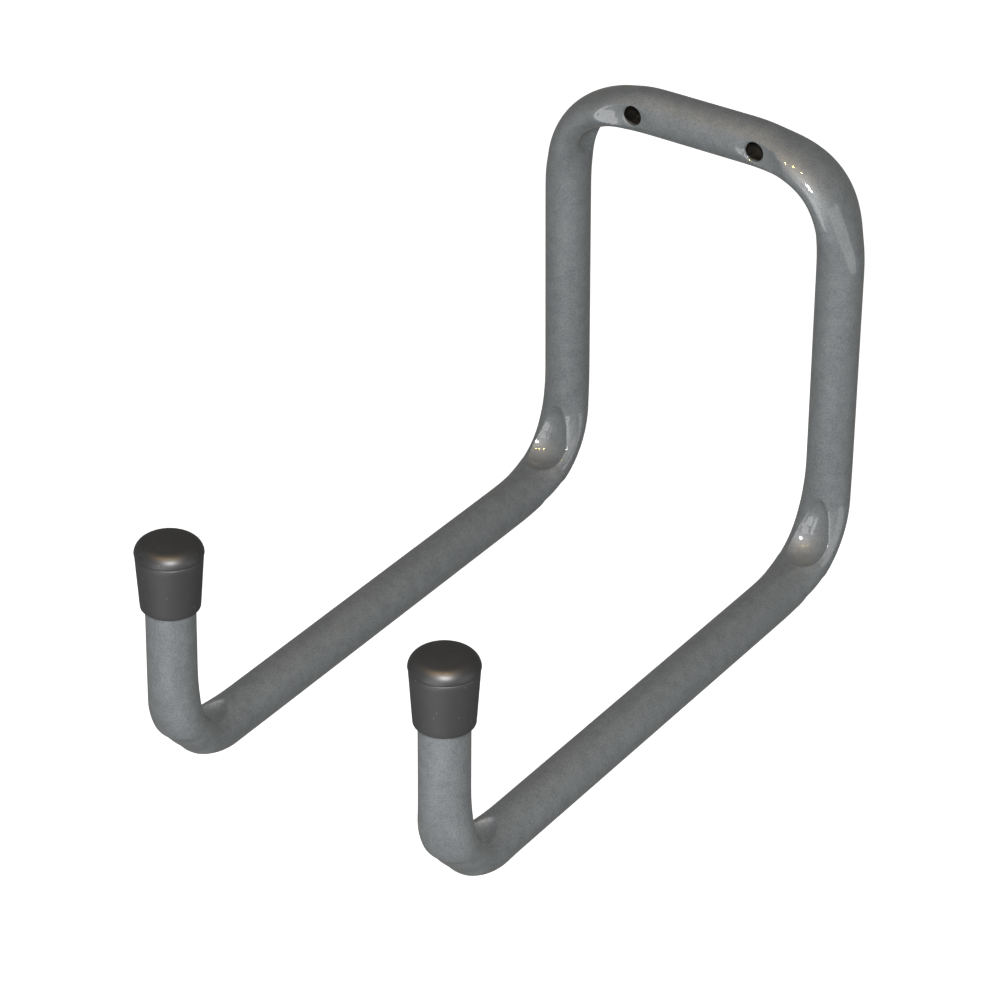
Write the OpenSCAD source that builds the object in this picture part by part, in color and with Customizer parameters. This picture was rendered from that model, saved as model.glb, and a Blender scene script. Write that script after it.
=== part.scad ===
// Wall storage hook: one length of round steel tube, press-bent into a crossbar, two legs,
// two long arms and two upturned tips, with a rubber cap pushed over each cut end.
// Millimetres. +X is to the right along the wall, -Y points out of the wall, +Z is up.
// The origin is on the wall plane, midway between the two screw holes.

/* [Frame] */
// Distance between the centrelines of the two legs
leg_spacing = 130; // [120:1:240]
// Drop from the crossbar centreline to the arm centrelines
leg_height = 178; // [130:1:320]
// Reach of the arms, from the leg centrelines to the tip centrelines
arm_reach = 263; // [150:1:420]
// Length of each upturned tip, from the arm centreline to the cut end of the tube
tip_length = 93; // [75:1:180]
// Lean of the tips back towards the wall, in degrees
tip_lean = 2.5; // [0:0.5:8]
// Tilt of each tip in towards the other, in degrees
tip_tilt = 0.7; // [0:0.1:2]
// Angle by which each arm turns in towards the other, in degrees
toe_in = 0.3; // [0:0.1:2]

/* [Tube] */
// Outside diameter of the tube
tube_d = 19; // [15:0.5:23]
// Wall thickness of the tube
tube_wall = 1.5; // [1:0.1:2.2]

/* [Press bends] */
// Centreline radius of the two bends between crossbar and legs
top_bend_r = 28; // [24:1:34]
// Centreline radius of the two bends between legs and arms
bottom_bend_r = 30; // [24:1:45]
// Centreline radius of the two bends between arms and tips
tip_bend_r = 25; // [24:1:38]
// Depth of the dish that the former presses into the inside of a bend
dish_depth = 3; // [1:0.25:4]
// Radius of the ball-nosed former that presses the dish
former_r = 14; // [9:0.5:14]
// Depth of the flat left on the outside of a bend
flat_depth = 4; // [2:0.25:5]

/* [Screw holes] */
// Distance between the two screw holes
screw_spacing = 57; // [24:1:60]
// Diameter of the screw holes, which pass through both walls
screw_hole_d = 8; // [4:0.5:9]
// Depth of the dimple punched around the front of each screw hole
dimple_depth = 1; // [0.5:0.1:1.5]
// Radius of the ball that punches the dimple
dimple_ball_r = 14; // [10:1:20]

/* [End caps] */
// Length of tube that a cap covers
cap_grip = 24; // [15:1:35]
// Thickness of rubber over the cut end of the tube, at the middle of the dome
cap_top = 4.2; // [3:0.2:8]
// Thickness of rubber around the tube at the open rim
cap_rim_wall = 1.8; // [1:0.1:4]
// Thickness of rubber around the tube at the lip below the dome
cap_lip_wall = 3.5; // [2:0.1:6]
// Height of the dome above the lip
cap_dome = 5.8; // [4:0.2:8]
// Radius of the rounded edge of the dome
cap_shoulder_r = 5.2; // [3:0.2:5.8]
// Radius of the gentle crown on top of the dome
cap_crown_r = 42; // [30:1:80]
// Radial gap between the tube and the bore of a cap
cap_clearance = 0.05; // [0:0.01:0.2]

/* [Hidden] */
$fn = 96;

tube_r = tube_d / 2;
tip_bend_angle = 90 + tip_lean;
tip_tangent = tip_bend_r * tan(tip_bend_angle / 2);
half_crossbar = leg_spacing / 2 - top_bend_r;
half_leg = (leg_height - top_bend_r - bottom_bend_r) / 2;
press_reach = 1.5 * tube_d;
arm_straight = arm_reach - bottom_bend_r - tip_tangent - 2 * press_reach;
tip_straight = tip_length - tip_tangent;
overrun = 1;
draw_down = 0.2;
run_lap = 0.2;
tool_span = 6 * tube_d;

tube_color = [0.43, 0.45, 0.46];
rubber_color = [0.12, 0.12, 0.12];

// Frame of one leg: origin on its centreline, level with the crossbar. side is 1 for the
// right leg and -1 for the left one, which is its mirror image.
module at_leg(side) {
    mirror([side < 0 ? 1 : 0, 0, 0]) translate([leg_spacing / 2, -tube_r, 0]) children();
}

// The same frame, turned about the leg by the toe-in of the arm.
module at_arm(side) {
    at_leg(side) rotate([0, 0, -toe_in]) children();
}

// Frames of the three bends of one side. Each has the bend's axis as Z and its centre as
// origin, and the tube's centreline sweeps away from the +X axis by the bend's angle.
module at_top_bend(side) {
    at_leg(side) translate([-top_bend_r, 0, -top_bend_r]) rotate([90, 0, 0]) children();
}

module at_bottom_bend(side) {
    at_arm(side) translate([0, -bottom_bend_r, bottom_bend_r - leg_height])
        rotate([0, 90, 0]) children();
}

module at_tip_bend(side) {
    at_arm(side) translate([0, tip_tangent - arm_reach, -leg_height]) rotate([0, -tip_tilt, 0])
        translate([0, 0, tip_bend_r]) rotate([0, 90, 180]) children();
}

// Frame of one tip: origin on its centreline where the tip bend ends, +Z towards the cap.
module at_tip(side) {
    at_tip_bend(side) rotate([0, 0, tip_bend_angle]) translate([tip_bend_r, 0, 0])
        rotate([-90, 0, 0]) children();
}

// Solid bend with a straight run before it and one after it, each lengthened by extra.
// inset shrinks the section all round, which turns the outside of the tube into its bore.
// The press draws the bend and the run before it down a little. The run after the bend laps
// over the end of the bend, and the run before it laps into the next length of tube.
module bent_rod(bend_r, angle, before, after, inset, extra) {
    rod_r = tube_r - inset;
    drawn_r = rod_r - draw_down;
    rotate_extrude(angle = angle) translate([bend_r, 0]) circle(r = drawn_r);
    translate([bend_r, 0, 0]) rotate([90, 0, 0])
        cylinder(h = before + run_lap + extra, r = drawn_r);
    rotate([0, 0, angle]) translate([bend_r, -run_lap, 0]) rotate([-90, 0, 0])
        cylinder(h = run_lap + after + extra, r = rod_r);
}

// Tools that press one bend: a ball-nosed former on the inside and a flat plate on the
// outside. inset moves both into the tube, so that the wall keeps its thickness.
module press(bend_r, angle, inset) {
    rotate([0, 0, angle / 2]) {
        translate([bend_r - tube_r + dish_depth - former_r, 0, 0]) sphere(r = former_r + inset);
        translate([bend_r + tube_r - flat_depth - inset, -tool_span / 2, -tool_span / 2])
            cube([tube_d, tool_span, tool_span]);
    }
}

// Hollow bend with its straight runs and the marks of the press.
module pressed_bend(bend_r, angle, before, after) {
    difference() {
        difference() {
            bent_rod(bend_r, angle, before, after, 0, 0);
            press(bend_r, angle, 0);
        }
        difference() {
            bent_rod(bend_r, angle, before, after, tube_wall, overrun);
            press(bend_r, angle, tube_wall);
        }
    }
}

// Outer and inner surface of the ball punched into the front wall at one screw.
module dimple(side, grow) {
    translate([side * screw_spacing / 2, dimple_depth - dimple_ball_r - tube_d, 0])
        sphere(r = dimple_ball_r + grow);
}

// One top corner: half of the crossbar, the bend and half of the leg. The dimple is cut from
// the front wall, and a curved patch behind it keeps the wall's thickness.
module top_corner(side) {
    difference() {
        union() {
            at_top_bend(side) pressed_bend(top_bend_r, 90, half_leg, half_crossbar);
            intersection() {
                translate([side * screw_spacing / 2, -tube_r, 0]) rotate([0, 90, 0])
                    cylinder(h = 2 * dimple_ball_r, r = tube_r, center = true);
                dimple(side, tube_wall);
            }
        }
        dimple(side, 0);
        translate([side * screw_spacing / 2, overrun, 0]) rotate([90, 0, 0])
            cylinder(h = tube_d + 2 * overrun, d = screw_hole_d);
    }
}

// Straight middle of one arm, between the runs of its two bends.
module arm_middle(side) {
    at_arm(side) translate([0, -bottom_bend_r - press_reach, -leg_height]) rotate([90, 0, 0])
        difference() {
            cylinder(h = arm_straight, r = tube_r);
            translate([0, 0, -overrun])
                cylinder(h = arm_straight + 2 * overrun, r = tube_r - tube_wall);
        }
}

module hook_tube() {
    color(tube_color) for (side = [-1, 1]) {
        top_corner(side);
        at_bottom_bend(side) pressed_bend(bottom_bend_r, 90, press_reach, half_leg);
        arm_middle(side);
        at_tip_bend(side) pressed_bend(tip_bend_r, tip_bend_angle, press_reach, tip_straight);
    }
}

// Push-on cap, drawn with its open rim at the origin and its dome towards +Z.
module end_cap() {
    side_h = cap_grip + cap_top - cap_dome;
    lip_r = tube_r + cap_lip_wall;
    difference() {
        union() {
            cylinder(h = side_h, r1 = tube_r + cap_rim_wall, r2 = lip_r);
            translate([0, 0, side_h]) rotate_extrude() intersection() {
                square([lip_r, cap_dome]);
                translate([0, cap_dome - cap_crown_r]) circle(r = cap_crown_r);
                union() {
                    translate([lip_r - cap_shoulder_r, 0]) circle(r = cap_shoulder_r);
                    square([lip_r - cap_shoulder_r, cap_dome]);
                }
            }
        }
        translate([0, 0, -overrun]) cylinder(h = cap_grip + overrun, r = tube_r + cap_clearance);
    }
}

// One cap on its tip, seated on the cut end of the tube.
module seated_cap(side) {
    color(rubber_color) at_tip(side) translate([0, 0, tip_straight - cap_grip]) end_cap();
}

module end_cap_left() {
    seated_cap(-1);
}

module end_cap_right() {
    seated_cap(1);
}

hook_tube();
end_cap_left();
end_cap_right();
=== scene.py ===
"""Wall storage hook: a press-bent steel tube in grey metallic enamel with two rubber caps."""

import logging
import math
from dataclasses import dataclass, field
from enum import Enum
from typing import Iterable, Optional, Sequence

import bmesh
import bpy
import numpy as np
from mathutils import Matrix, Vector


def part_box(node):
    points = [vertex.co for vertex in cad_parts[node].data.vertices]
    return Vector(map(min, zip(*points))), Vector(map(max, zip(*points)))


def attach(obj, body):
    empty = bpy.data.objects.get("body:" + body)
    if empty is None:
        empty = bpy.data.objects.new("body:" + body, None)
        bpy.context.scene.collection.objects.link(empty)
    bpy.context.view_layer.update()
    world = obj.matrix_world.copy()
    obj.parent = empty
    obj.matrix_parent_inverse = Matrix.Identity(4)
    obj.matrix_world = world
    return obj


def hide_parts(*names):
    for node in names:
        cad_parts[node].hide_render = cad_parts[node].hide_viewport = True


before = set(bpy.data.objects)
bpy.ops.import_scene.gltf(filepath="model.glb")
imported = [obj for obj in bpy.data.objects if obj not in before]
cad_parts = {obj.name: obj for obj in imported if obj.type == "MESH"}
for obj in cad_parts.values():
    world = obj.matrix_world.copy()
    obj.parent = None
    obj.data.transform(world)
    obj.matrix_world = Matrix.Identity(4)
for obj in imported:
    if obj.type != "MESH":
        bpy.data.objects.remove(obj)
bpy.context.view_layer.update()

LOG = logging.getLogger("wall_hook")
MM = 0.001
UP = Vector((0, 0, 1))
FORWARD = Vector((0, -1, 0))
WORLD_AXES = ((1, 0, 0), (0, 1, 0), (0, 0, 1))
ROUND_OFF = 1e-6
NOSE_WIDTH = 0.9
SHARP_EDGE = 40
SHARP_RUBBER_EDGE = 50
CAP_CLEARANCE = 0.05 * MM
CAP_LIP_DEPTH = 1.6 * MM


class Where(Enum):
    """The three press bends of one side, from the wall outwards."""

    TOP = "top"
    BOTTOM = "bottom"
    TIP = "tip"


class Bench:
    """Edit-mode handwork on one mesh at a time."""

    @staticmethod
    def clear() -> None:
        """Leave edit mode and deselect everything."""
        if bpy.context.object and bpy.context.object.mode != "OBJECT":
            bpy.ops.object.mode_set(mode="OBJECT")
        bpy.ops.object.select_all(action="DESELECT")

    @staticmethod
    def take(obj: bpy.types.Object) -> None:
        """Make obj the only selected object, and the active one."""
        Bench.clear()
        obj.select_set(True)
        bpy.context.view_layer.objects.active = obj

    @staticmethod
    def settle(obj: bpy.types.Object, name: str) -> bpy.types.Object:
        """Name obj and put its place into its mesh.

        Args:
            obj: The object that was just added or shaped.
            name: Its name from here on.

        Returns:
            The same object, at the origin, unturned and unscaled.
        """
        Bench.take(obj)
        bpy.ops.object.transform_apply(location=True, rotation=True, scale=True)
        obj.name = obj.data.name = name
        return obj

    @staticmethod
    def edit(obj: bpy.types.Object) -> None:
        """Enter edit mode on obj, by vertices."""
        Bench.take(obj)
        bpy.ops.object.mode_set(mode="EDIT")
        bpy.ops.mesh.select_mode(type="VERT")

    @staticmethod
    def pick(obj: bpy.types.Object, chosen: Iterable[int]) -> None:
        """Select the vertices with the given numbers, and no others.

        Args:
            obj: The object in edit mode.
            chosen: Vertex numbers.
        """
        bpy.ops.mesh.select_all(action="DESELECT")
        mesh = bmesh.from_edit_mesh(obj.data)
        mesh.verts.ensure_lookup_table()
        for number in chosen:
            mesh.verts[int(number)].select = True
        mesh.select_flush_mode()

    @staticmethod
    def push(step: Vector) -> None:
        """Extrude what is selected by step."""
        bpy.ops.mesh.extrude_region_move(TRANSFORM_OT_translate={"value": step})

    @staticmethod
    def stretch(scales: tuple, axes: tuple, pivot: Vector) -> None:
        """Resize what is selected along three axes about a point."""
        bpy.ops.transform.resize(
            value=scales, orient_type="GLOBAL", orient_matrix_type="GLOBAL",
            orient_matrix=[tuple(a) for a in axes], center_override=pivot,
        )

    @staticmethod
    def places(obj: bpy.types.Object) -> np.ndarray:
        """The places of obj's vertices, one row each; obj is in object mode."""
        flat = np.empty(len(obj.data.vertices) * 3)
        obj.data.vertices.foreach_get("co", flat)
        return flat.reshape(-1, 3)

    @staticmethod
    def modify(obj: bpy.types.Object, kind: str, **settings: object) -> None:
        """Add a modifier to obj and apply it.

        Args:
            obj: The object to change.
            kind: The modifier's type.
            settings: The modifier's own settings.
        """
        Bench.take(obj)
        modifier = obj.modifiers.new(kind.title(), kind)
        for key, value in settings.items():
            setattr(modifier, key, value)
        bpy.ops.object.modifier_apply(modifier=modifier.name)

    @staticmethod
    def smooth(obj: bpy.types.Object, degrees: float) -> None:
        """Shade obj smooth, except over edges sharper than the given angle."""
        Bench.take(obj)
        bpy.ops.object.shade_smooth_by_angle(angle=math.radians(degrees))

    @staticmethod
    def tidy(obj: bpy.types.Object) -> None:
        """Merge doubles and turn every face outwards."""
        Bench.edit(obj)
        bpy.ops.mesh.select_all(action="SELECT")
        bpy.ops.mesh.remove_doubles(threshold=0.01 * MM)
        bpy.ops.mesh.normals_make_consistent(inside=False)
        bpy.ops.object.mode_set(mode="OBJECT")

    @staticmethod
    def scrap(*objects: bpy.types.Object) -> None:
        """Remove tools that have done their work."""
        for obj in objects:
            bpy.data.meshes.remove(obj.data)


class Wire:
    """A number in a node tree that takes part in arithmetic."""

    def __init__(self, graph: "Graph", socket: bpy.types.NodeSocket) -> None:
        """Hold the output socket and the graph that it belongs to."""
        self.graph = graph
        self.socket = socket

    def _math(self, operation: str, left: object, right: object) -> "Wire":
        """Add one Math node.

        Args:
            operation: The Math node's operation.
            left: A Wire or a number.
            right: A Wire or a number.

        Returns:
            The node's result.
        """
        node = self.graph.node("ShaderNodeMath", {"operation": operation}, {0: left, 1: right})
        return Wire(self.graph, node.outputs[0])

    def __add__(self, other: object) -> "Wire":
        """self + other."""
        return self._math("ADD", self, other)

    def __sub__(self, other: object) -> "Wire":
        """self - other."""
        return self._math("SUBTRACT", self, other)

    def __rsub__(self, other: object) -> "Wire":
        """other - self."""
        return self._math("SUBTRACT", other, self)

    def __mul__(self, other: object) -> "Wire":
        """self * other."""
        return self._math("MULTIPLY", self, other)

    __radd__ = __add__
    __rmul__ = __mul__


class Graph:
    """A node tree, written node by node."""

    def __init__(self, tree: bpy.types.NodeTree) -> None:
        """Start from an empty tree."""
        self.tree = tree
        self.tree.nodes.clear()

    def node(self, kind: str, settings: dict, inputs: dict) -> bpy.types.Node:
        """Add a node of any type.

        Args:
            kind: The node's type.
            settings: Its own settings, which are set first.
            inputs: Values or links of its sockets, by name or number.

        Returns:
            The node.
        """
        node = self.tree.nodes.new(kind)
        for key, value in settings.items():
            setattr(node, key, value)
        for key, value in inputs.items():
            self.feed(node.inputs[key], value)
        return node

    def feed(self, socket: bpy.types.NodeSocket, value: object) -> None:
        """Link or set one input socket.

        Args:
            socket: The input.
            value: A Wire, an output socket, or a constant.
        """
        if isinstance(value, Wire):
            self.tree.links.new(value.socket, socket)
        elif isinstance(value, bpy.types.NodeSocket):
            self.tree.links.new(value, socket)
        else:
            socket.default_value = value

    def smoothstep(self, value: object, low: float, high: float) -> Wire:
        """Rise from 0 at low to 1 at high.

        Args:
            value: The number that is compared.
            low: Where the rise starts.
            high: Where it ends.

        Returns:
            The share.
        """
        node = self.node("ShaderNodeMapRange", {"interpolation_type": "SMOOTHSTEP"}, {
            "Value": value, "From Min": low, "From Max": high,
        })
        return Wire(self, node.outputs[0])

    def mix(self, share: object, first: object, second: object) -> bpy.types.NodeSocket:
        """Mix two colours.

        Args:
            share: How much of the second colour.
            first: A colour or a link.
            second: A colour or a link.

        Returns:
            The mixed colour.
        """
        node = self.node("ShaderNodeMix", {"data_type": "RGBA"}, {0: share, 6: first, 7: second})
        return node.outputs[2]


class Recipe(Graph):
    """A procedural material with one Principled shader."""

    def __init__(self, name: str) -> None:
        """Start the material."""
        self.material = bpy.data.materials.new(name)
        self.material.use_nodes = True
        super().__init__(self.material.node_tree)
        self.shader = self.node("ShaderNodeBsdfPrincipled", {}, {})
        self.node("ShaderNodeOutputMaterial", {}, {0: self.shader.outputs[0]})
        self.place = self.node("ShaderNodeTexCoord", {}, {}).outputs["Object"]

    def noise(self, grain: float, detail: float) -> Wire:
        """Smooth noise around 0.5.

        Args:
            grain: Size of one blotch, in metres.
            detail: How many finer layers lie on it.

        Returns:
            The noise's value.
        """
        node = self.node("ShaderNodeTexNoise", {}, {
            "Vector": self.place, "Scale": 1 / grain, "Detail": detail, "Roughness": 0.6,
        })
        return Wire(self, node.outputs["Fac"])

    def cells(self, grain: float) -> Wire:
        """Distance to the middle of the nearest of many scattered cells.

        Args:
            grain: Size of one cell, in metres.

        Returns:
            The distance, in cells.
        """
        node = self.node("ShaderNodeTexVoronoi", {}, {"Vector": self.place, "Scale": 1 / grain})
        return Wire(self, node.outputs["Distance"])

    def bump(self, height: Wire, depth: float, strength: float) -> None:
        """Feed the shader's normal with a relief.

        Args:
            height: The relief, from 0 to 1.
            depth: Its depth in metres.
            strength: How much of it shows.
        """
        node = self.node("ShaderNodeBump", {}, {
            "Height": height, "Distance": depth, "Strength": strength,
        })
        self.feed(self.shader.inputs["Normal"], node.outputs[0])

    def set(self, **values: object) -> None:
        """Set or link shader inputs; an underscore in a name stands for a space."""
        for key, value in values.items():
            self.feed(self.shader.inputs[key.replace("_", " ")], value)


@dataclass(frozen=True)
class Enamel:
    """Grey metallic stoving enamel with fine flakes and a soft gloss."""

    light: tuple = (0.184, 0.195, 0.200, 1)
    dark: tuple = (0.098, 0.107, 0.112, 1)
    flake: float = 0.55 * MM
    cloud: float = 5 * MM
    peel: float = 1.6 * MM

    def make(self) -> bpy.types.Material:
        """Write the material."""
        recipe = Recipe("painted_tube")
        flakes = recipe.noise(self.flake, 1.0)
        clouds = recipe.noise(self.cloud, 3.0)
        peel = recipe.noise(self.peel, 1.0)
        share = recipe.smoothstep(flakes * 0.65 + clouds * 0.35, 0.26, 0.74)
        recipe.set(
            Base_Color=recipe.mix(share, self.dark, self.light),
            Roughness=0.52 + 0.12 * flakes,
            Metallic=0.15,
            Coat_Weight=0.9,
            Coat_Roughness=0.045,
        )
        recipe.bump(0.3 * flakes + 0.7 * peel, 0.02 * MM, 0.4)
        return recipe.material


@dataclass(frozen=True)
class BareSteel:
    """Unpainted inside of the tube, blotched with oil and overspray, its colours kept near black
    as painted shade for the dim inside.
    """

    steel: tuple = (0.050, 0.034, 0.022, 1)
    oil_and_shade_black: tuple = (0.004, 0.003, 0.002, 1)
    blotch: float = 3.5 * MM

    def make(self) -> bpy.types.Material:
        """Write the material."""
        recipe = Recipe("bare_steel")
        blotches = recipe.noise(self.blotch, 4.0)
        share = recipe.smoothstep(blotches, 0.4, 0.6)
        recipe.set(
            # Painted shade: both colours are near black, darker than oily steel would be, to stand
            # in for the shade inside the tube; the blotches add real oily patches.
            Base_Color=recipe.mix(share, self.oil_and_shade_black, self.steel),
            Roughness=0.75 - 0.25 * blotches,
            Metallic=0.4,
        )
        recipe.bump(blotches, 0.1 * MM, 0.5)
        return recipe.material


@dataclass(frozen=True)
class Rubber:
    """Moulded black rubber, satin, shinier on the dome, with a little dust; below the dome it is
    painted lighter, as painted light on the sides.
    """

    black: tuple = (0.016, 0.016, 0.017, 1)
    mottle_and_side_lit_grey: tuple = (0.030, 0.030, 0.031, 1)
    dust: tuple = (0.30, 0.30, 0.29, 1)
    grain: float = 0.35 * MM
    cloud: float = 5 * MM
    speck_gap: float = 3.2 * MM
    dome_start: float = 0.0
    dome_full: float = 0.0

    def make(self) -> bpy.types.Material:
        """Write the material."""
        recipe = Recipe("black_rubber")
        grain = recipe.noise(self.grain, 2.0)
        clouds = recipe.noise(self.cloud, 3.0)
        axes = recipe.node("ShaderNodeSeparateXYZ", {}, {0: recipe.place})
        dome = recipe.smoothstep(Wire(recipe, axes.outputs["Z"]), self.dome_start, self.dome_full)
        near = recipe.cells(self.speck_gap)
        dusty = 1 - recipe.smoothstep(near, 0.035, 0.06)
        # Painted light: below the dome the rubber is mixed towards a lighter grey so the sides
        # read brighter than the dark top; the clouds add real random tone.
        body = recipe.mix(clouds * 0.5 + (1 - dome) * 0.5, self.black, self.mottle_and_side_lit_grey)
        recipe.set(
            Base_Color=recipe.mix(dusty * 0.7, body, self.dust),
            Roughness=0.52 - 0.12 * dome + 0.10 * clouds,
        )
        recipe.bump(grain * 0.7 + clouds * 0.3, 0.03 * MM, 0.5)
        return recipe.material


@dataclass(frozen=True)
class Paper:
    """Plain white paper of the studio floor, lit from below as on a light table."""

    white: tuple = (0.90, 0.90, 0.90, 1)
    shade: tuple = (0.88, 0.88, 0.88, 1)
    patch: float = 0.2
    glow: float = 0.75

    def make(self) -> bpy.types.Material:
        """Write the material."""
        recipe = Recipe("paper")
        recipe.set(
            Base_Color=recipe.mix(recipe.noise(self.patch, 2.0), self.white, self.shade),
            Roughness=0.95,
            Emission_Color=(1, 1, 1, 1),
            Emission_Strength=self.glow,
        )
        return recipe.material


@dataclass(frozen=True)
class Former:
    """A round-nosed former that dents the inside of a bend.

    Attributes:
        share: Its place along the bend, from 0 to 1.
        radius: Its radius.
        depth: How deep it presses.
        breadth: Its stretch along the bend's axis.
        nose: How far its upper end is drawn out to a point.
    """

    share: float
    radius: float
    depth: float
    breadth: float
    nose: float


@dataclass(frozen=True)
class Shoe:
    """The mark that the end of the press shoe leaves on the outside of a bend.

    Attributes:
        start: Where it begins along the centreline, from the start of the bend.
        end: Where it ends.
        grip: The share of its depth that the section keeps there.
    """

    start: float
    end: float
    grip: float


@dataclass
class PressBend:
    """One press bend of the right-hand side.

    Attributes:
        centre: Centre of the bend.
        start: Unit vector from the centre to where the bend starts.
        axis: Unit vector that the bend turns about.
        radius: Radius of the centreline.
        angle: Angle of the bend.
        outer_flat: How far the press flattens the section, as a share of the tube's radius.
        side_swell: How far the section swells sideways, as a share of its width.
        former: What dents the inside.
        shift_left: How far the former stands to the right in the left-hand bend.
        shift_right: How far it stands to the right in the right-hand bend.
        shoe: What marks the outside, if anything.
    """

    centre: Vector
    start: Vector
    axis: Vector
    radius: float
    angle: float
    outer_flat: float
    side_swell: float
    former: Former
    shift_left: float = 0.0
    shift_right: float = 0.0
    shoe: Optional[Shoe] = None

    @property
    def length(self) -> float:
        """Length of the bend along its centreline."""
        return self.radius * self.angle

    def facing(self, turned: float) -> Vector:
        """Unit vector from the bend's centre to the centreline, after a turn of that angle."""
        return Matrix.Rotation(turned, 3, self.axis) @ self.start

    def at(self, run: float) -> tuple:
        """The frame of the tube at a distance along the centreline from the bend's start.

        Args:
            run: The distance, below 0 on the straight before and past length on the one after.

        Returns:
            The centre of the section, and the unit vectors outwards and along the tube.
        """
        turned = min(max(run / self.radius, 0.0), self.angle)
        outwards = self.facing(turned)
        along = self.axis.cross(outwards)
        spare = run - turned * self.radius
        return self.centre + outwards * self.radius + along * spare, outwards, along


@dataclass
class HookTube:
    """The bent tube, modelled as its right-hand half and mirrored.

    Attributes:
        tube_r: Outside radius of the tube.
        leg_x: Distance of a leg's centreline from the middle of the hook.
        back_y: Plane of the wall.
        arm_z: Height of the arms' centrelines.
        wall: Thickness of the tube's wall.
        fine: Distance between rings in and near the bends.
        coarse: Distance between rings elsewhere.
        near_bend: How far from a bend the rings stay fine.
        fade_reach: How far the flattening reaches, in half lengths of a bend.
        fade_power: How sharply it ends there.
        core_pinch: How far the dish narrows the bore.
        core_rest: How far inwards of the centreline the bore is narrowed towards.
    """

    tube_r: float
    leg_x: float
    back_y: float
    arm_z: float
    wall: float = 1.5 * MM
    top_r: float = 28 * MM
    bottom_r: float = 30 * MM
    tip_r: float = 25 * MM
    arm_reach: float = 263 * MM
    tip_length: float = 93 * MM
    tip_lean: float = math.radians(2.5)
    tip_tilt: float = math.radians(0.7)
    toe_in: float = math.radians(0.3)
    screw_x: float = 28.5 * MM
    screw_r: float = 4 * MM
    dimple_depth: float = 1.2 * MM
    dimple_ball_r: float = 30 * MM
    rim_round: float = 0.9 * MM
    rim_depth: float = 0.45 * MM
    rim_steps: int = 6
    rim_turn: float = 0.93 * math.pi / 2
    sides: int = 48
    bore_sides: int = 24
    fine: float = 1.7 * MM
    coarse: float = 9 * MM
    bore_fine: float = 4 * MM
    bore_coarse: float = 20 * MM
    near_bend: float = 18 * MM
    near_crossbar: float = 22 * MM
    fade_reach: float = 1.16
    fade_power: int = 4
    least_share: float = 0.004
    inner_press: float = 0.02
    core_pinch: float = 0.60
    core_swell: float = 0.08
    core_rest: float = 0.7 * MM
    ring_reach: float = 1.9
    overrun: float = 1 * MM
    bends: dict = field(default_factory=dict)

    def plan(self) -> None:
        """Work out where the three bends of the right-hand side lie."""
        axis_y = self.back_y - self.tube_r
        toe = Matrix.Rotation(-self.toe_in, 3, UP) @ FORWARD
        leg = Vector((self.leg_x, axis_y, 0))
        tip_angle = math.pi / 2 + self.tip_lean
        tangent = self.tip_r * math.tan(tip_angle / 2)
        across = toe.cross(UP)
        tilt = Matrix.Rotation(self.tip_tilt, 3, toe)
        rise = tilt @ UP
        foot = leg + toe * (self.arm_reach - tangent) + UP * self.arm_z
        self.bends = {
            Where.TOP: PressBend(
                Vector((self.leg_x - self.top_r, axis_y, -self.top_r)), UP.copy(),
                Vector((0, 1, 0)), self.top_r, math.pi / 2, 0.49, 0.38,
                Former(0.54, 13 * MM, 3.6 * MM, 1.2, 0),
            ),
            Where.BOTTOM: PressBend(
                leg + toe * self.bottom_r + UP * (self.arm_z + self.bottom_r), -toe,
                across, self.bottom_r, math.pi / 2, 0.41, 0.155,
                Former(0.54, 12 * MM, 4.4 * MM, 1.15, 5 * MM),
                1.0 * MM, 2.0 * MM, Shoe(35 * MM, 48 * MM, 0.93),
            ),
            Where.TIP: PressBend(
                foot + rise * self.tip_r, -rise,
                tilt @ across, self.tip_r, tip_angle, 0.24, 0.22,
                Former(0.40, 10 * MM, 4.4 * MM, 1.2, 3 * MM),
                shoe=Shoe(16.5 * MM, 27 * MM, 0.92),
            ),
        }
        self.tip_run = self.tip_length - tangent

    def draw(self, name: str, radius: float, sides: int,
             fine: float, coarse: float, spare: float) -> bpy.types.Object:
        """Push a ring of edges along the right-hand half of the hook.

        Args:
            name: Name of the mesh.
            radius: Radius of the ring.
            sides: Number of its edges.
            fine: Distance between rings in and near the bends.
            coarse: Distance between rings elsewhere.
            spare: Extra length at both ends.

        Returns:
            The open sleeve.
        """
        Bench.clear()
        bpy.ops.mesh.primitive_circle_add(
            vertices=sides, radius=radius, fill_type="NOTHING",
            location=(-spare, self.back_y - self.tube_r, 0), rotation=(0, math.pi / 2, 0),
        )
        sleeve = Bench.settle(bpy.context.object, name)
        Bench.edit(sleeve)
        bpy.ops.mesh.select_all(action="SELECT")
        here = Vector((-spare, self.back_y - self.tube_r, 0))
        for where, bend in self.bends.items():
            entry = bend.at(0)[0]
            self.run_straight(entry - here, fine, coarse, where is not Where.TOP)
            bpy.ops.mesh.spin(
                steps=max(4, round(bend.length / fine)), angle=bend.angle,
                center=bend.centre, axis=-bend.axis,
            )
            here, _, along = bend.at(bend.length)
        self.run_straight(along * (self.tip_run + spare), fine, coarse, True)
        bpy.ops.mesh.normals_make_consistent(inside=False)
        bpy.ops.object.mode_set(mode="OBJECT")
        return sleeve

    def run_straight(self, way: Vector, fine: float, coarse: float, leaves_bend: bool) -> None:
        """Push the selected ring along one straight run, in fine steps near the bends.

        Args:
            way: From the run's start to its end.
            fine: Step near a bend.
            coarse: Step elsewhere.
            leaves_bend: Whether a bend lies behind the run as well as ahead.
        """
        near = self.near_bend if leaves_bend else self.near_crossbar
        behind = near if leaves_bend else 0
        middle = max(way.length - near - behind, 0)
        direction = way.normalized()
        ahead = way.length - behind - middle
        for part, step in ((behind, fine), (middle, coarse), (ahead, fine)):
            count = math.ceil(part / step - ROUND_OFF)
            for _ in range(count):
                Bench.push(direction * (part / count))

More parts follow.
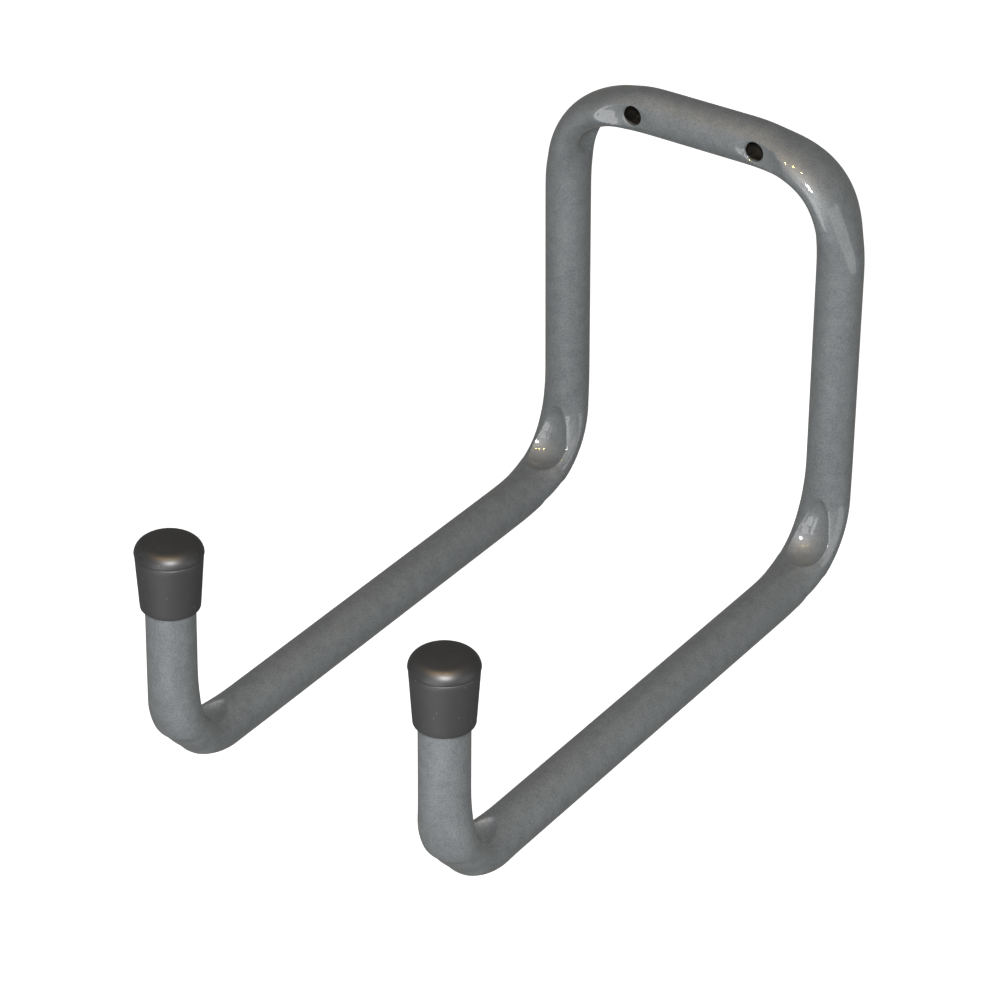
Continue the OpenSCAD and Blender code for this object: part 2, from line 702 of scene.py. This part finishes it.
    def squeeze(self, sleeve: bpy.types.Object, core: bool) -> None:
        """Flatten the sections of every bend from outside, and let their sides swell.

        Args:
            sleeve: The sleeve to shape.
            core: Whether it is the bore, which the dish narrows as well.
        """
        places = Bench.places(sleeve)
        Bench.edit(sleeve)
        for bend in self.bends.values():
            half = bend.length / 2
            reach, radius = self.ring_reach * half, self.tube_r * 1.05
            for run, members in self.ring_runs(bend, places, reach, radius):
                away = abs(run - half) / half
                share = math.exp(-((away / self.fade_reach) ** self.fade_power))
                if share < self.least_share:
                    continue
                centre, outwards, along = bend.at(run)
                axes = (outwards, bend.axis, along)
                Bench.pick(sleeve, members)
                if core:
                    low = centre - outwards * self.core_rest
                    deep, wide = 1 - self.core_pinch * share, 1 + self.core_swell * share
                    Bench.stretch((deep, wide, 1), axes, low)
                    continue
                inner = centre - outwards * self.tube_r * (1 - self.inner_press * share)
                deep, wide = 1 - bend.outer_flat * share / 2, 1 + bend.side_swell * share
                Bench.stretch((deep, wide, 1), axes, inner)
                if bend.shoe and bend.shoe.start < run < bend.shoe.end:
                    Bench.stretch((bend.shoe.grip, 1, 1), axes, inner)
        bpy.ops.object.mode_set(mode="OBJECT")

    @staticmethod
    def ring_runs(bend: PressBend, places: np.ndarray, reach: float, radius: float) -> list:
        """Find the rings in and around a bend.

        Args:
            bend: The bend.
            places: Every vertex's place.
            reach: How far from the middle of the bend rings count.
            radius: How far from the centreline a ring's vertices lie at most.

        Returns:
            For each ring, its distance along the centreline and its vertex numbers.
        """
        offset = places - np.array(bend.centre)
        ahead = bend.axis.cross(bend.start)
        first = offset @ np.array(bend.start)
        second = offset @ np.array(ahead)
        turned = np.arctan2(second, first)
        after = bend.length + offset @ np.array(bend.axis.cross(bend.facing(bend.angle)))
        within = np.where(turned >= bend.angle, after, turned * bend.radius)
        run = np.where(turned <= 0, second, within)
        near = np.empty(len(places))
        for number, place in enumerate(places):
            near[number] = (Vector(place) - bend.at(run[number])[0]).length
        chosen = np.flatnonzero((near < radius) & (np.abs(run - bend.length / 2) < reach))
        rings: dict = {}
        for number in chosen:
            rings.setdefault(round(run[number] / (0.2 * MM)), []).append(number)
        return [(float(np.mean(run[members])), members) for members in rings.values()]

    def mirror(self, sleeve: bpy.types.Object, spare: float) -> None:
        """Close the far end of a sleeve, and mirror it to the left-hand side.

        Args:
            sleeve: The right-hand half.
            spare: Its extra length at the far end.
        """
        tip = self.bends[Where.TIP]
        end, _, along = tip.at(tip.length + self.tip_run + spare)
        offset = Bench.places(sleeve) - np.array(end)
        beside = np.linalg.norm(offset, axis=1) < self.tube_r * 1.1
        level = np.abs(offset @ np.array(along)) < 0.1 * MM
        Bench.edit(sleeve)
        Bench.pick(sleeve, np.flatnonzero(beside & level))
        bpy.ops.transform.edge_crease(value=1)
        bpy.ops.mesh.edge_face_add()
        bpy.ops.mesh.select_all(action="SELECT")
        bpy.ops.mesh.bisect(plane_co=(0, 0, 0), plane_no=(1, 0, 0), clear_inner=True)
        bpy.ops.object.mode_set(mode="OBJECT")
        Bench.modify(sleeve, "MIRROR", use_axis=(True, False, False), use_mirror_merge=True,
                     merge_threshold=0.01 * MM)
        Bench.tidy(sleeve)

    def press(self, sleeve: bpy.types.Object, ball: bpy.types.Object) -> None:
        """Push the sleeve's surface out of a solid tool, and remove the tool."""
        Bench.modify(sleeve, "SHRINKWRAP", target=ball, wrap_method="NEAREST_SURFACEPOINT",
                     wrap_mode="OUTSIDE")
        Bench.scrap(ball)

    def ball(self, radius: float, place: Vector) -> bpy.types.Object:
        """A round-nosed tool with a fine surface."""
        Bench.clear()
        bpy.ops.mesh.primitive_ico_sphere_add(subdivisions=6, radius=radius, location=place)
        return Bench.settle(bpy.context.object, "tool")

    def dish(self, sleeve: bpy.types.Object) -> None:
        """Press the dishes into the insides of all six bends."""
        for side in (-1, 1):
            for bend in self.bends.values():
                self.press(sleeve, self.former(bend, side))

    def former(self, bend: PressBend, side: int) -> bpy.types.Object:
        """Set a former into the inside of a bend.

        Args:
            bend: The bend, on the right-hand side.
            side: 1 for the right-hand bend and -1 for its mirror image.

        Returns:
            The tool.
        """
        former = bend.former
        facing = bend.facing(bend.angle * former.share)
        reach = bend.radius - self.tube_r + former.depth - former.radius
        tool = self.ball(former.radius, bend.centre + facing * reach)
        ahead = bend.axis.cross(facing)
        upper = int(np.argmin(Bench.places(tool) @ np.array(ahead)))
        Bench.edit(tool)
        bpy.ops.mesh.select_all(action="SELECT")
        Bench.stretch((1, former.breadth, 1), (facing, bend.axis, ahead), bend.centre)
        Bench.pick(tool, [upper])
        bpy.ops.transform.translate(
            value=ahead * -former.nose, use_proportional_edit=True,
            proportional_edit_falloff="LINEAR", proportional_size=NOSE_WIDTH * former.radius,
        )
        bpy.ops.mesh.select_all(action="SELECT")
        if side < 0:
            Bench.stretch((-1, 1, 1), WORLD_AXES, Vector((0, 0, 0)))
            bpy.ops.mesh.flip_normals()
        shift = bend.shift_right if side > 0 else bend.shift_left
        bpy.ops.transform.translate(value=Vector((shift, 0, 0)))
        bpy.ops.object.mode_set(mode="OBJECT")
        return tool

    def punch(self, sleeve: bpy.types.Object) -> None:
        """Press the dimples and punch the screw holes through both walls."""
        front = self.back_y - 2 * self.tube_r
        for side in (-1, 1):
            dent = Vector((side * self.screw_x, front + self.dimple_depth - self.dimple_ball_r, 0))
            self.press(sleeve, self.ball(self.dimple_ball_r, dent))
        for side in (-1, 1):
            cutter = self.punch_tool(side * self.screw_x, front)
            cutter.data.materials.append(sleeve.data.materials[0])
            Bench.modify(sleeve, "BOOLEAN", object=cutter, operation="DIFFERENCE", solver="EXACT")
            Bench.scrap(cutter)

    def punch_tool(self, place_x: float, front: float) -> bpy.types.Object:
        """A punch with a flared mouth, pointing into the wall.

        Args:
            place_x: The hole's place along the crossbar.
            front: The front of the tube.

        Returns:
            The tool.
        """
        Bench.clear()
        behind, ahead, flare = 2 * MM, 4 * MM, 1.25
        mouth = front + self.dimple_depth + self.rim_depth
        bpy.ops.mesh.primitive_circle_add(
            vertices=64, radius=self.screw_r, fill_type="NGON",
            location=(place_x, self.back_y + behind, 0), rotation=(math.pi / 2, 0, 0),
        )
        tool = Bench.settle(bpy.context.object, "punch")
        Bench.edit(tool)
        bpy.ops.mesh.select_all(action="SELECT")
        Bench.push(Vector((0, mouth - self.back_y - behind, 0)))
        here, radius = mouth, self.screw_r
        for number in range(1, self.rim_steps + 1):
            turned = number / self.rim_steps * self.rim_turn
            place = mouth - self.rim_round * math.sin(turned)
            wide = self.screw_r + self.rim_round * (1 - math.cos(turned))
            Bench.push(Vector((0, place - here, 0)))
            Bench.stretch((wide / radius,) * 3, WORLD_AXES, Vector((place_x, place, 0)))
            here, radius = place, wide
        Bench.push(Vector((0, -ahead, 0)))
        Bench.stretch((flare,) * 3, WORLD_AXES, Vector((place_x, here - ahead, 0)))
        bpy.ops.object.mode_set(mode="OBJECT")
        Bench.tidy(tool)
        return tool

    def build(self, enamel: bpy.types.Material, steel: bpy.types.Material) -> bpy.types.Object:
        """Make the finished tube.

        Args:
            enamel: The paint outside.
            steel: The bare inside.

        Returns:
            The piece, riding on the body.
        """
        self.plan()
        tube = self.draw("bent_tube", self.tube_r, self.sides, self.fine, self.coarse, 0)
        self.squeeze(tube, False)
        self.mirror(tube, 0)
        Bench.modify(tube, "SUBSURF", levels=1, render_levels=1,
                     boundary_smooth="PRESERVE_CORNERS")
        tube.data.materials.append(enamel)
        self.dish(tube)
        bore = self.draw("bore", self.tube_r - self.wall, self.bore_sides,
                         self.bore_fine, self.bore_coarse, self.overrun)
        bore.data.materials.append(steel)
        self.squeeze(bore, True)
        self.mirror(bore, self.overrun)
        Bench.modify(tube, "BOOLEAN", object=bore, operation="DIFFERENCE", solver="EXACT",
                     material_mode="TRANSFER")
        Bench.scrap(bore)
        self.punch(tube)
        Bench.smooth(tube, SHARP_EDGE)
        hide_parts("hook_tube")
        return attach(tube, "root")


@dataclass
class EndCap:
    """A push-on rubber cap, lathed about its tip's axis.

    Attributes:
        node: Name of the cap's CAD node.
        foot: Middle of its open rim.
        axis: Unit vector from the rim to the dome.
        bore_r: Radius of its bore.
        grip: Depth of the bore.
        top: Thickness over the bore, at the middle of the dome.
        rim_wall: Thickness around the bore at the rim.
        lip_wall: Thickness around it at the lip below the dome.
        dome: Height of the dome above the lip.
        shoulder_r: Radius of the dome's rounded edge.
        crown_r: Radius of the crown on top.
        rim_edge: Radius of the rim's outer edge.
        sides: Number of sides of each ring.
    """

    node: str
    foot: Vector
    axis: Vector
    bore_r: float
    grip: float = 24 * MM
    top: float = 4.2 * MM
    rim_wall: float = 1.75 * MM
    lip_wall: float = 3.45 * MM
    dome: float = 5.75 * MM
    shoulder_r: float = 5.1 * MM
    crown_r: float = 42 * MM
    rim_edge: float = 0.35 * MM
    sides: int = 96

    def profile(self) -> list:
        """The cap's outline, from the inside of the rim round to the top, as radius and height."""
        lip = self.bore_r + self.lip_wall
        rim = self.bore_r + self.rim_wall
        seat = self.grip + self.top - self.dome
        edge = self.rim_edge
        points = [(self.bore_r + 0.25 * MM, 0.0), (rim - edge, 0.0)]
        points += [(rim - edge * (1 - math.sin(t)), edge * (1 - math.cos(t)))
                   for t in (0.5, 1.0, 1.5)]
        for number in range(1, 13):
            height = 0.4 * MM + (seat - 1.0 * MM) * number / 12
            points.append((rim + (lip - 0.22 * MM - rim) * (height / seat), height))
        points += [
            (lip - 0.32 * MM, seat - 0.45 * MM),
            (lip - 0.50 * MM, seat - 0.25 * MM),
            (lip - 0.42 * MM, seat - 0.05 * MM),
            (lip - 0.10 * MM, seat + 0.05 * MM),
        ]
        centre = lip - self.shoulder_r
        stop = math.pi / 2 - math.atan2(centre, self.crown_r - self.dome)
        sag = self.crown_r - math.sqrt(self.crown_r**2 - centre**2)
        spare = max(self.dome - sag - self.shoulder_r, 0)
        for number in range(1, 17):
            turned = stop * number / 16
            lift = 0.05 * MM + (spare + self.shoulder_r - 0.05 * MM) * math.sin(turned)
            points.append((centre + self.shoulder_r * math.cos(turned), seat + lift))
        edge_r, edge_h = points[-1]
        for number in range(1, 11):
            radius = edge_r * (1 - number / 11)
            rise = math.sqrt(self.crown_r**2 - radius**2) - math.sqrt(self.crown_r**2 - edge_r**2)
            points.append((radius, edge_h + rise))
        return points

    def build(self, rubber: bpy.types.Material) -> bpy.types.Object:
        """Lathe the cap ring by ring, and bore it.

        Args:
            rubber: Its material.

        Returns:
            The piece, riding on the body.
        """
        Bench.clear()
        turn = UP.rotation_difference(self.axis).to_euler()
        points = self.profile()
        bpy.ops.mesh.primitive_circle_add(
            vertices=self.sides, radius=points[0][0], fill_type="NOTHING",
            location=self.foot + self.axis * points[0][1], rotation=turn,
        )
        cap = Bench.settle(bpy.context.object, self.node + "_rubber")
        Bench.edit(cap)
        bpy.ops.mesh.select_all(action="SELECT")
        self.lathe(points)
        bpy.ops.mesh.edge_face_add()
        bpy.ops.mesh.select_all(action="DESELECT")
        Bench.pick(cap, range(self.sides))
        self.lathe([
            points[0],
            (self.bore_r, 0.3 * MM),
            (self.bore_r, self.grip - 0.5 * MM),
            (self.bore_r - 0.15 * MM, self.grip - 0.15 * MM),
            (self.bore_r - 0.5 * MM, self.grip),
            (self.bore_r * 0.5, self.grip),
        ])
        bpy.ops.mesh.edge_face_add()
        bpy.ops.object.mode_set(mode="OBJECT")
        Bench.tidy(cap)
        cap.data.materials.append(rubber)
        Bench.smooth(cap, SHARP_RUBBER_EDGE)
        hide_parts(self.node)
        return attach(cap, "root")

    def lathe(self, points: list) -> None:
        """Extrude the selected ring through a list of radii and heights."""
        for (radius, height), (wide, high) in zip(points, points[1:]):
            Bench.push(self.axis * (high - height))
            Bench.stretch((wide / radius,) * 3, WORLD_AXES, self.foot + self.axis * high)


@dataclass(frozen=True)
class Lamp:
    """A square soft light.

    Attributes:
        name: Its name.
        place: Where it hangs, in metres from the camera's target.
        size: Length of its side.
        power: Its power in watts.
        tint: Its colour.
        glint: Whether it is seen in reflections only.
    """

    name: str
    place: Sequence[float]
    size: float
    power: float
    tint: Sequence[float] = (1, 1, 1)
    glint: bool = False


@dataclass
class Studio:
    """White floor, soft lights and the camera."""

    target: Vector = field(default_factory=lambda: Vector((-12.03, -132.356, -115.82)) * MM)
    azimuth: float = 35.964
    elevation: float = 32.262
    roll: float = -0.476
    distance: float = 1256.26 * MM
    lens: float = 115.78
    floor_z: float = -0.42
    floor_size: float = 8
    lamp_tint: tuple = (1.0, 0.60, 0.15)
    room_front: Vector = field(default_factory=lambda: Vector((0.1, -0.8, 0.35)))
    room_light: tuple = (0.46, 0.47, 0.48, 1)
    room_dark: tuple = (0.20, 0.20, 0.185, 1)

    def axes(self) -> tuple:
        """The camera's right, up and backward directions."""
        az, el, roll = (math.radians(a) for a in (self.azimuth, self.elevation, self.roll))
        back = Vector((math.sin(az) * math.cos(el), -math.cos(az) * math.cos(el), math.sin(el)))
        right = Vector((math.cos(az), math.sin(az), 0))
        up = back.cross(right)
        return (right * math.cos(roll) + up * math.sin(roll),
                up * math.cos(roll) - right * math.sin(roll), back)

    def camera(self) -> None:
        """Add the camera and make it the scene's."""
        right, up, back = self.axes()
        data = bpy.data.cameras.new("camera")
        data.sensor_width = 36
        data.lens = self.lens
        data.clip_start, data.clip_end = 0.05, 20
        camera = bpy.data.objects.new("camera", data)
        bpy.context.scene.collection.objects.link(camera)
        place = self.target + back * self.distance
        turn = Matrix((right, up, back)).transposed().to_4x4()
        camera.matrix_world = Matrix.Translation(place) @ turn
        bpy.context.scene.camera = camera

    def lamps(self) -> list:
        """The lamps: a flash beside the camera, two soft windows and three ceiling lamps."""
        _, up, back = self.axes()
        flash = back * 0.95 + up * 0.10
        ceiling = ((-0.10, -0.62, 1.15), (0.16, -0.42, 1.25), (0.42, -0.30, 1.20))
        return [
            Lamp("flash", flash, 0.12, 4),
            Lamp("flash_glint", flash, 0.15, 14, glint=True),
            Lamp("soft_window", (0.15, -0.80, -0.05), 0.6, 4),
            Lamp("side_window", (1.3, 0.1, 0.0), 1.0, 5),
            *(Lamp(f"ceiling_lamp_{number}", place, 0.05, 4, self.lamp_tint, glint=True)
              for number, place in enumerate(ceiling)),
        ]

    def hang(self, lamp: Lamp) -> None:
        """Add a square soft light that faces the hook.

        Args:
            lamp: Where it hangs and how it shines.
        """
        data = bpy.data.lights.new(lamp.name, "AREA")
        data.shape, data.size, data.energy, data.color = "SQUARE", lamp.size, lamp.power, lamp.tint
        light = bpy.data.objects.new(lamp.name, data)
        bpy.context.scene.collection.objects.link(light)
        place = Vector(lamp.place)
        turn = place.to_track_quat("Z", "Y").to_matrix().to_4x4()
        light.matrix_world = Matrix.Translation(self.target + place) @ turn
        light.visible_diffuse = not lamp.glint

    def floor(self) -> None:
        """Lay the paper floor."""
        Bench.clear()
        bpy.ops.mesh.primitive_plane_add(size=self.floor_size, location=(0, 0, self.floor_z))
        sheet = Bench.settle(bpy.context.object, "floor")
        sheet.data.materials.append(Paper().make())
        sheet.visible_glossy = sheet.visible_diffuse = False

    def world(self) -> None:
        """Surround the scene with a soft light room, darker behind the hook and below it."""
        world = bpy.data.worlds.new("studio")
        world.use_nodes = True
        graph = Graph(world.node_tree)
        way = graph.node("ShaderNodeTexCoord", {}, {}).outputs["Generated"]
        lit = graph.node("ShaderNodeVectorMath", {"operation": "DOT_PRODUCT"}, {
            0: way, 1: self.room_front.normalized(),
        })
        share = graph.smoothstep(Wire(graph, lit.outputs["Value"]), -0.7, 0.9)
        colour = graph.mix(share, self.room_dark, self.room_light)
        background = graph.node("ShaderNodeBackground", {}, {"Color": colour, "Strength": 1.0})
        graph.node("ShaderNodeOutputWorld", {}, {0: background.outputs[0]})
        bpy.context.scene.world = world
        bpy.context.scene.view_settings.view_transform = "Standard"

    def build(self) -> None:
        """Set up the whole studio."""
        self.world()
        self.floor()
        self.camera()
        for lamp in self.lamps():
            self.hang(lamp)


def main() -> None:
    """Build the hook and its studio."""
    low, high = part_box("hook_tube")
    hook = HookTube(tube_r=high.z, leg_x=high.x - high.z, back_y=high.y, arm_z=low.z + high.z)
    tube = hook.build(Enamel().make(), BareSteel().make())
    LOG.info("%s: %d faces", tube.name, len(tube.data.polygons))
    tip = hook.bends[Where.TIP]
    end, _, axis = tip.at(tip.length + hook.tip_run)
    lip_z = (end - axis * CAP_LIP_DEPTH).z
    rubber = Rubber(dome_start=lip_z - 1.5 * MM, dome_full=lip_z + 3 * MM).make()
    for node, side in (("end_cap_left", -1), ("end_cap_right", 1)):
        cap_axis = Vector((side * axis.x, axis.y, axis.z))
        cap_end = Vector((side * end.x, end.y, end.z))
        foot = cap_end - cap_axis * EndCap.grip
        cap = EndCap(node, foot, cap_axis, hook.tube_r + CAP_CLEARANCE)
        piece = cap.build(rubber)
        LOG.info("%s: %d faces", piece.name, len(piece.data.polygons))
    Studio().build()


if __name__ == "__main__":
    logging.basicConfig(level=logging.INFO, format="%(name)s %(message)s")
    main()
